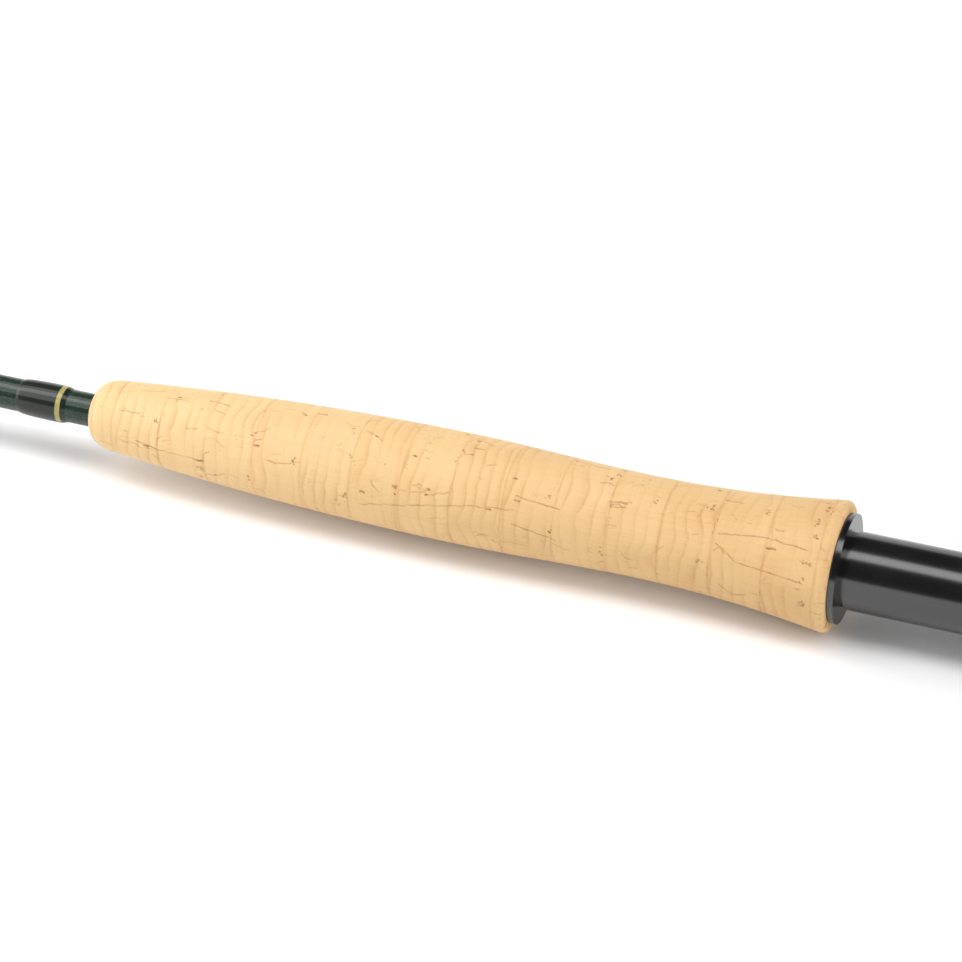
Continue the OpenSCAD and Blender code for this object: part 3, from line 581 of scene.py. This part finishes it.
def long_cracks(ring, x0, x1):
    """Longer cracks that stay inside one ring, some with a dark pit on them."""
    draw = random.Random(300 + ring)
    cracks = []
    for _ in range(round((x1 - x0) / MM * 0.7)):
        x, a = draw.uniform(x0, x1) / MM, draw.uniform(0, 360)
        path = [(x, a)]
        for _ in range(draw.randint(1, 3)):
            x, a = min(x + draw.uniform(0.8, 3.5), x1 / MM), a + draw.uniform(-6, 6)
            path.append((x, a))
        cracks.append((0.13, draw.uniform(0.35, 0.65), tuple(path)))
        if draw.random() < 0.4:
            x, a = draw.choice(path)
            cracks.append((draw.uniform(0.18, 0.26), 0.9, ((x, a), (x + 0.5, a))))
    return cracks


def pore_groups(ring, x0):
    """Groups of small pores near the joint with the ring before."""
    draw = random.Random(500 + ring)
    pores = []
    for _ in range(RICH_RINGS.get(ring, PORE_GROUPS)):
        x, a = x0 / MM + draw.uniform(0, 2.5), draw.uniform(0, 360)
        for _ in range(draw.randint(3, 9)):
            px, pa = draw.gauss(x, 0.35), draw.gauss(a, 2)
            pores.append((draw.uniform(0.12, 0.22), draw.uniform(0.5, 1.0),
                          ((px, pa), (px + draw.uniform(0.05, 0.3), pa + draw.uniform(-1, 1)))))
    return pores


def crack_strength(x, angle, radius, cracks, seed):
    """How deep each point of the cork lies in a crack: 0 outside, up to 1 in the middle."""
    place = np.column_stack([x, radius * np.cos(angle), radius * np.sin(angle)]) / MM
    wander = lattice_noise(place / 1.1, seed) - 0.5
    broken = lattice_noise(place * (1.1, 0.7, 0.7), seed + 1)
    strength = np.zeros(len(x))
    for width, dark, path in cracks:
        nearest = np.full(len(x), 99.0)
        for (x0, a0), (x1, a1) in zip(path, path[1:]):
            middle = math.radians((a0 + a1) / 2)
            round_mm = ((angle - middle + math.pi) % (2 * math.pi) - math.pi) * radius / MM
            half = math.radians(a1 - a0) / 2 * np.mean(radius) / MM
            dx, dv = (x1 - x0) / 2, half
            px, pv = x / MM - (x0 + x1) / 2, round_mm + 0.45 * wander
            t = np.clip((px * dx + pv * dv) / (dx * dx + dv * dv + 1e-9), -1, 1)
            nearest = np.minimum(nearest, np.hypot(px - t * dx, pv - t * dv))
        inside = np.clip(1.25 - nearest / width, 0, 1)
        strength = np.maximum(strength, inside * dark * np.clip(0.35 + 1.3 * broken, 0, 1))
    return strength


def random_cracks(ring, x0, x1, count):
    """Short pores that run along the rod, thicker where a ring has more of them."""
    draw = random.Random(700 + ring)
    cracks = []
    thick = draw.uniform(0.5, 1.0)
    for _ in range(count):
        x = draw.uniform(x0, x1) / MM
        a = draw.uniform(0, 360)
        length = draw.choice((0.5, 0.8, 1.2, 2.0, 3.5))
        lean = draw.uniform(-2.5, 2.5)
        cracks.append((draw.uniform(0.1, 0.15), thick * draw.uniform(0.15, 0.5),
                       ((x - length / 2, a - lean), (x + length / 2, a + lean))))
        if draw.random() < 0.3:
            for _ in range(3):
                dx, da = draw.uniform(-1.2, 1.2), draw.uniform(-5, 5)
                cracks.append((0.13, 0.4, ((x + dx, a + da), (x + dx + 0.2, a + da))))
    return cracks


def joint_pores(x, seed, dark):
    """A broken line of pores that the glue line between two rings shows."""
    draw = random.Random(seed)
    return [(0.13, dark * draw.uniform(0.3, 1.0),
             ((x / MM + draw.uniform(-0.25, 0.25), a + draw.uniform(-2, 2)),
              (x / MM + draw.uniform(-0.35, 0.35), a + draw.uniform(0.5, 5))))
            for a in range(0, 360, 7) if draw.random() < 0.3]


class FLYROD_OT_grip(bpy.types.Operator):
    """Turns the cork rings of the grip, with growth layers, cracks and pores"""

    bl_idname = "flyrod.grip"
    bl_label = "Cork Grip"

    def execute(self, context):
        sizes = context.scene.flyrod_grip
        outline = smooth_curve(cad_outline(*CORK_RINGS), sizes.step)
        for number, node in enumerate(CORK_RINGS, 1):
            self.ring(sizes, outline, number, node)
        return {"FINISHED"}

    def crosses(self, crack, start, end):
        """Whether a crack comes within a millimetre of the stretch from start to end."""
        places = [x for x, _ in crack[2]]
        return max(places) > start - 1 and min(places) < end + 1

    def ring(self, sizes, outline, number, node):
        """Turns one ring from its stretch of the grip's outline and its bore."""
        low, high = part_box(node)
        x0, x1 = low.x, high.x
        after, before = outline[:, 0] > x0 + sizes.step / 2, outline[:, 0] < x1 - sizes.step / 2
        inside = outline[after & before]
        first = (x0, np.interp(x0, outline[:, 0], outline[:, 1]))
        last = (x1, np.interp(x1, outline[:, 0], outline[:, 1]))
        if number == 1:
            inside = outline[before][1:]
            first = outline[0]
        if number == len(CORK_RINGS):
            inside = outline[after][:-1]
            last = outline[-1]
        bore = bore_radius(node)
        outer = np.vstack([[first], inside, [last]])
        section = np.vstack([[[x0, bore[0]]], outer, [[x1, bore[1]]]])
        draw = random.Random(40 + number)
        lean = draw.uniform(-0.07, 0.07), draw.uniform(-0.07, 0.07)
        start = draw.uniform(0, 1)
        # Painted shade: each ring is darker the nearer it lies to the flared end at the seat; the random
        # part is the ring's own tone.
        seat_end_painted_shade = 0.15 * (1 - (number - 1) / (len(CORK_RINGS) - 1))
        ring_tone_and_painted_shade = draw.uniform(-0.03, 0.03) - seat_end_painted_shade + 0.02
        cracks = [c for c in placed_cracks() if self.crosses(c, x0 / MM, x1 / MM)]
        cracks += long_cracks(number, x0, x1) + pore_groups(number, x0)
        cracks += random_cracks(number, x0, x1, sizes.streaks)
        cracks += joint_pores(x1, 60 + number, 0.6 if number in (1, 3) else 0.25)
        cracks += joint_pores(x0, 59 + number, 0.6 if number in (2, 4) else 0.25)
        kept = {}

        def rise(x, angle, radius):
            y, z = radius * np.cos(angle), radius * np.sin(angle)
            place = np.column_stack([x, y, z]) / MM
            slow = lattice_noise(place / (9, 5, 5), number) - 0.5
            quick = lattice_noise(place / (3, 1.6, 1.6), number + 50) - 0.5
            phase = (x + lean[0] * y + lean[1] * z) / sizes.layer_gap + start
            shared = lattice_noise(place / (4.5, 40, 40), 7) - 0.5
            phase += 0.75 * slow + 0.16 * quick + 0.7 * shared
            part = phase - np.floor(phase)
            faint = lattice_noise(place / (6, 7, 7), number + 90)
            layer = np.maximum(np.exp(-part * 4), np.exp(-(1 - part) * 26))
            layer = layer * np.clip(1.7 * faint - 0.25, 0.06, 1)
            thin = (2.7 * phase + 0.3 * quick) % 1
            between = np.clip(1.6 * (1 - faint) - 0.3, 0, 1)
            layer = np.maximum(layer, 0.3 * np.exp(-thin * 6) * between)
            pore = crack_strength(x, angle, radius, cracks, number)
            seam = np.exp(-np.minimum(x - x0, x1 - x) / SEAM_WIDTH)
            if number == 1:
                seam = np.exp(-(x1 - x) / SEAM_WIDTH)
            if number == len(CORK_RINGS):
                seam = np.exp(-(x - x0) / SEAM_WIDTH)
            kept["layer"] = np.clip(layer * 0.7 + seam * 0.45, 0, 1)
            kept["pore"] = pore
            # Random tone of the ring and of its cork, plus the painted shade towards the seat end.
            kept["tone_and_painted_shade"] = ring_tone_and_painted_shade + 0.1 * slow
            outer_skin = radius > max(bore) + 0.3 * MM
            change = -sizes.pit_depth * pore - 0.02 * MM * seam - 0.005 * MM * layer
            return np.where(outer_skin, change, 0)

        piece = turned(f"cork_{number:02d}", section, sizes.turns, rise=rise)
        for name, values in kept.items():
            point_values(piece, name, values)
        crisp(piece, 50)
        finish_piece(piece, node, MATERIALS["cork"])


# ---------------------------------------------------------------- wraps and keeper

# How far the varnish stands over the blank: (mm from the grip, mm).
WRAP_SWELL = ((0, 0), (0.5, 0.14), (1.3, 0.36), (2.6, 0.48), (5, 0.48),
              (8, 0.43), (10, 0.36), (11.4, 0.24), (12, 0.1), (12.3, 0))


class FLYROD_OT_keeper_wrap(bpy.types.Operator):
    """Winds the varnished thread wrap and its gold band in front of the grip"""

    bl_idname = "flyrod.keeper_wrap"
    bl_label = "Keeper Wrap"

    def execute(self, context):
        outline = cad_outline("butt_blank")
        low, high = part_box("keeper_wrap")
        x = np.linspace(low.x, high.x, 150)
        blank = np.interp(x, outline[:, 0], outline[:, 1])
        s = (x - low.x) / MM
        swell = np.interp(s, *zip(*WRAP_SWELL))
        kernel = np.hanning(15)
        padded = np.pad(swell, 7, mode="edge")
        swell = np.convolve(padded, kernel / kernel.sum(), "valid")
        swell[0] = swell[-1] = 0.0
        outer = np.column_stack([x, blank + swell * MM])
        inner = np.column_stack([x[::-1], blank[::-1] - 0.02 * MM])
        wrap = turned("varnished_wrap", np.vstack([outer, inner]), 192)
        crisp(wrap, 60)
        finish_piece(wrap, "keeper_wrap", MATERIALS["thread_wrap"])

        a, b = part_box("keeper_trim_band")
        x = np.linspace(a.x, b.x, 40)
        skin = np.interp(x, outer[:, 0], outer[:, 1])
        part = (x - a.x) / (b.x - a.x)
        bead = 0.022 * MM * np.abs(np.sin(part * math.pi * 4)) ** 0.6
        outer_band = np.column_stack([x, skin + 0.004 * MM + bead])
        inner_band = np.column_stack([x[::-1], skin[::-1] - 0.15 * MM])
        band = turned("gold_band", np.vstack([outer_band, inner_band]), 192)
        crisp(band, 60)
        finish_piece(band, "keeper_trim_band", MATERIALS["gold_thread"])
        return {"FINISHED"}


# ---------------------------------------------------------------- pieces kept from the CAD

class FLYROD_OT_machined_parts(bpy.types.Operator):
    """Gives every piece that keeps its CAD shape its material and its smooth faces"""

    bl_idname = "flyrod.machined_parts"
    bl_label = "Machined Parts"

    def execute(self, context):
        for node, piece in NODES.items():
            if piece.get("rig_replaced") or piece.hide_render:
                continue
            material = MATERIALS[SLOT_OF[node]]
            piece.data.materials.clear()
            piece.data.materials.append(material)
            piece.data.polygons.foreach_set("use_smooth", [True] * len(piece.data.polygons))
            normals = piece.data.attributes.get("custom_normal")
            if normals:
                piece.data.attributes.remove(normals)
            weld = piece.modifiers.new("Join faces", "WELD")
            weld.merge_threshold = 2e-6
            split = piece.modifiers.new("Crisp edges", "EDGE_SPLIT")
            split.split_angle = math.radians(28)
        return {"FINISHED"}


# ---------------------------------------------------------------- stage

CAMERA_PLACE = (0.0027, 0.5896, 0.435)
CAMERA_AIM = (0.2859, -0.7729, -0.5664)
FLOOR_HALF = 60.0
PANEL_START, PANEL_LENGTH, PANEL_WIDTH = 0.46, 2.3, 0.87
PANEL_MIDDLE_Y, PANEL_HEIGHT = 0.255, 0.5

# Where each light of the tent fades in and out, in degrees round the rod.
KEY_IN, KEY_OUT = (65, 71), (88, 95)
FRONT_IN, FRONT_OUT = (-3, 0), (4, 9)
BEHIND_IN = (148, 160)
BEHIND_LIGHT = 1.1
BACKGROUND_LIGHT = 1.05

class FLYROD_OT_stage(bpy.types.Operator):
    """Sets the pale floor, the light tent and the camera"""

    bl_idname = "flyrod.stage"
    bl_label = "Studio Stage"

    def execute(self, context):
        scene = context.scene
        sizes = scene.flyrod_studio
        camera = bpy.data.cameras.new("camera")
        camera.lens, camera.sensor_width = sizes.lens, 36.0
        camera.clip_start, camera.clip_end = 0.01, 200.0
        holder = bpy.data.objects.new("camera", camera)
        scene.collection.objects.link(holder)
        holder.location = CAMERA_PLACE
        holder.rotation_mode = "QUATERNION"
        holder.rotation_quaternion = Vector(CAMERA_AIM).to_track_quat("-Z", "Y")
        scene.camera = holder
        self.floor()
        self.tent(scene, sizes)
        self.panel(scene, sizes)
        scene.view_settings.view_transform = "Standard"
        scene.view_settings.look = "None"
        return {"FINISHED"}

    def floor(self):
        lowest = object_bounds()[0].z
        half = FLOOR_HALF
        floor = add_mesh("floor", [(-half, -half, lowest), (half, -half, lowest),
                                   (half, half, lowest), (-half, half, lowest)],
                         [(0, 1, 2, 3)], smooth=False)
        material, shader, surface = new_material("floor_paper", {
            "Specular IOR Level": 0.0, "Roughness": 0.9})
        mottle = shader.noise(shader.place(), 300, 2.0)
        shader.feed(surface.inputs["Base Color"],
                    shader.mix(mottle, colour(0.86, 0.86, 0.865), colour(0.88, 0.88, 0.885)))
        floor.data.materials.append(material)
        floor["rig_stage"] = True

    def panel(self, scene, sizes):
        """A wide softbox over the bare blank, from in front of the grip to past the tip."""
        light = bpy.data.lights.new("panel", "AREA")
        light.shape, light.size, light.size_y = "RECTANGLE", PANEL_LENGTH, PANEL_WIDTH
        light.energy = sizes.panel * math.pi * PANEL_WIDTH * PANEL_LENGTH
        holder = bpy.data.objects.new("panel", light)
        holder.location = (PANEL_START + PANEL_LENGTH / 2, PANEL_MIDDLE_Y, PANEL_HEIGHT)
        holder.visible_camera = False
        scene.collection.objects.link(holder)

    def tent(self, scene, sizes):
        """A world of soft lights round the rod, seen by the camera as an even white."""
        world = bpy.data.worlds.new("light_tent")
        scene.world = world
        world.use_nodes = True
        shader = Shader(world.node_tree)
        back = world.node_tree.nodes["Background"]
        direction = shader.node("ShaderNodeTexCoord").outputs["Generated"]
        parts = shader.node("ShaderNodeSeparateXYZ", {"Vector": direction}).outputs
        turn = shader.math("MULTIPLY", shader.math("ARCTAN2", parts["Z"], parts["Y"]),
                           180 / math.pi)
        key = shader.math("MULTIPLY", shader.ramp(turn, *KEY_IN),
                          shader.ramp(turn, *KEY_OUT, 1.0, 0.0))
        front = shader.math("MULTIPLY", shader.ramp(turn, *FRONT_IN),
                            shader.ramp(turn, *FRONT_OUT, 1.0, 0.0))
        along = shader.math("ABSOLUTE", shader.math("SUBTRACT", parts["X"], 0.1))
        ends = shader.ramp(along, 0.55, 0.75)
        behind = shader.ramp(shader.math("ABSOLUTE", turn), *BEHIND_IN)
        light = shader.math("MULTIPLY", key, sizes.key)
        light = shader.math("MAXIMUM", light, shader.math("MULTIPLY", front, sizes.front))
        light = shader.math("MAXIMUM", light, shader.math("MULTIPLY", ends, sizes.ends))
        light = shader.math("MAXIMUM", light, shader.math("MULTIPLY", behind, BEHIND_LIGHT))
        light = shader.math("MAXIMUM", light, sizes.fill)
        seen = shader.node("ShaderNodeLightPath").outputs["Is Camera Ray"]
        strength = shader.node("ShaderNodeMix", data_type="FLOAT")
        shader.feed(strength.inputs["Factor"], seen)
        shader.feed(strength.inputs["A"], light)
        shader.feed(strength.inputs["B"], BACKGROUND_LIGHT)
        shader.feed(back.inputs["Strength"], strength.outputs["Result"])
        back.inputs["Color"].default_value = colour(1.0, 1.0, 1.0)


# ---------------------------------------------------------------- panel

class FLYROD_PT_panel(bpy.types.Panel):
    """Lists the steps that build the rod"""

    bl_idname = "FLYROD_PT_panel"
    bl_label = "Fly Rod"
    bl_space_type = "VIEW_3D"
    bl_region_type = "UI"
    bl_category = "Fly Rod"

    def draw(self, context):
        for step in STEPS:
            self.layout.operator(step.bl_idname)
        for group in ("flyrod_grip", "flyrod_colours", "flyrod_studio"):
            settings = getattr(context.scene, group)
            box = self.layout.box()
            for name in type(settings).__annotations__:
                box.prop(settings, name)


STEPS = (FLYROD_OT_stage, FLYROD_OT_grip, FLYROD_OT_keeper_wrap, FLYROD_OT_machined_parts)
GROUP_CLASSES = (GripSizes, FinishColours, StudioSizes)


def register():
    for cls in GROUP_CLASSES + STEPS + (FLYROD_PT_panel,):
        bpy.utils.register_class(cls)
    bpy.types.Scene.flyrod_grip = bpy.props.PointerProperty(type=GripSizes)
    bpy.types.Scene.flyrod_colours = bpy.props.PointerProperty(type=FinishColours)
    bpy.types.Scene.flyrod_studio = bpy.props.PointerProperty(type=StudioSizes)


def unregister():
    del bpy.types.Scene.flyrod_grip, bpy.types.Scene.flyrod_colours, bpy.types.Scene.flyrod_studio
    for cls in reversed(GROUP_CLASSES + STEPS + (FLYROD_PT_panel,)):
        bpy.utils.unregister_class(cls)


def main():
    register()
    make_materials(bpy.context.scene.flyrod_colours)
    for step in STEPS:
        group, name = step.bl_idname.split(".")
        getattr(getattr(bpy.ops, group), name)()


if __name__ == "__main__":
    main()
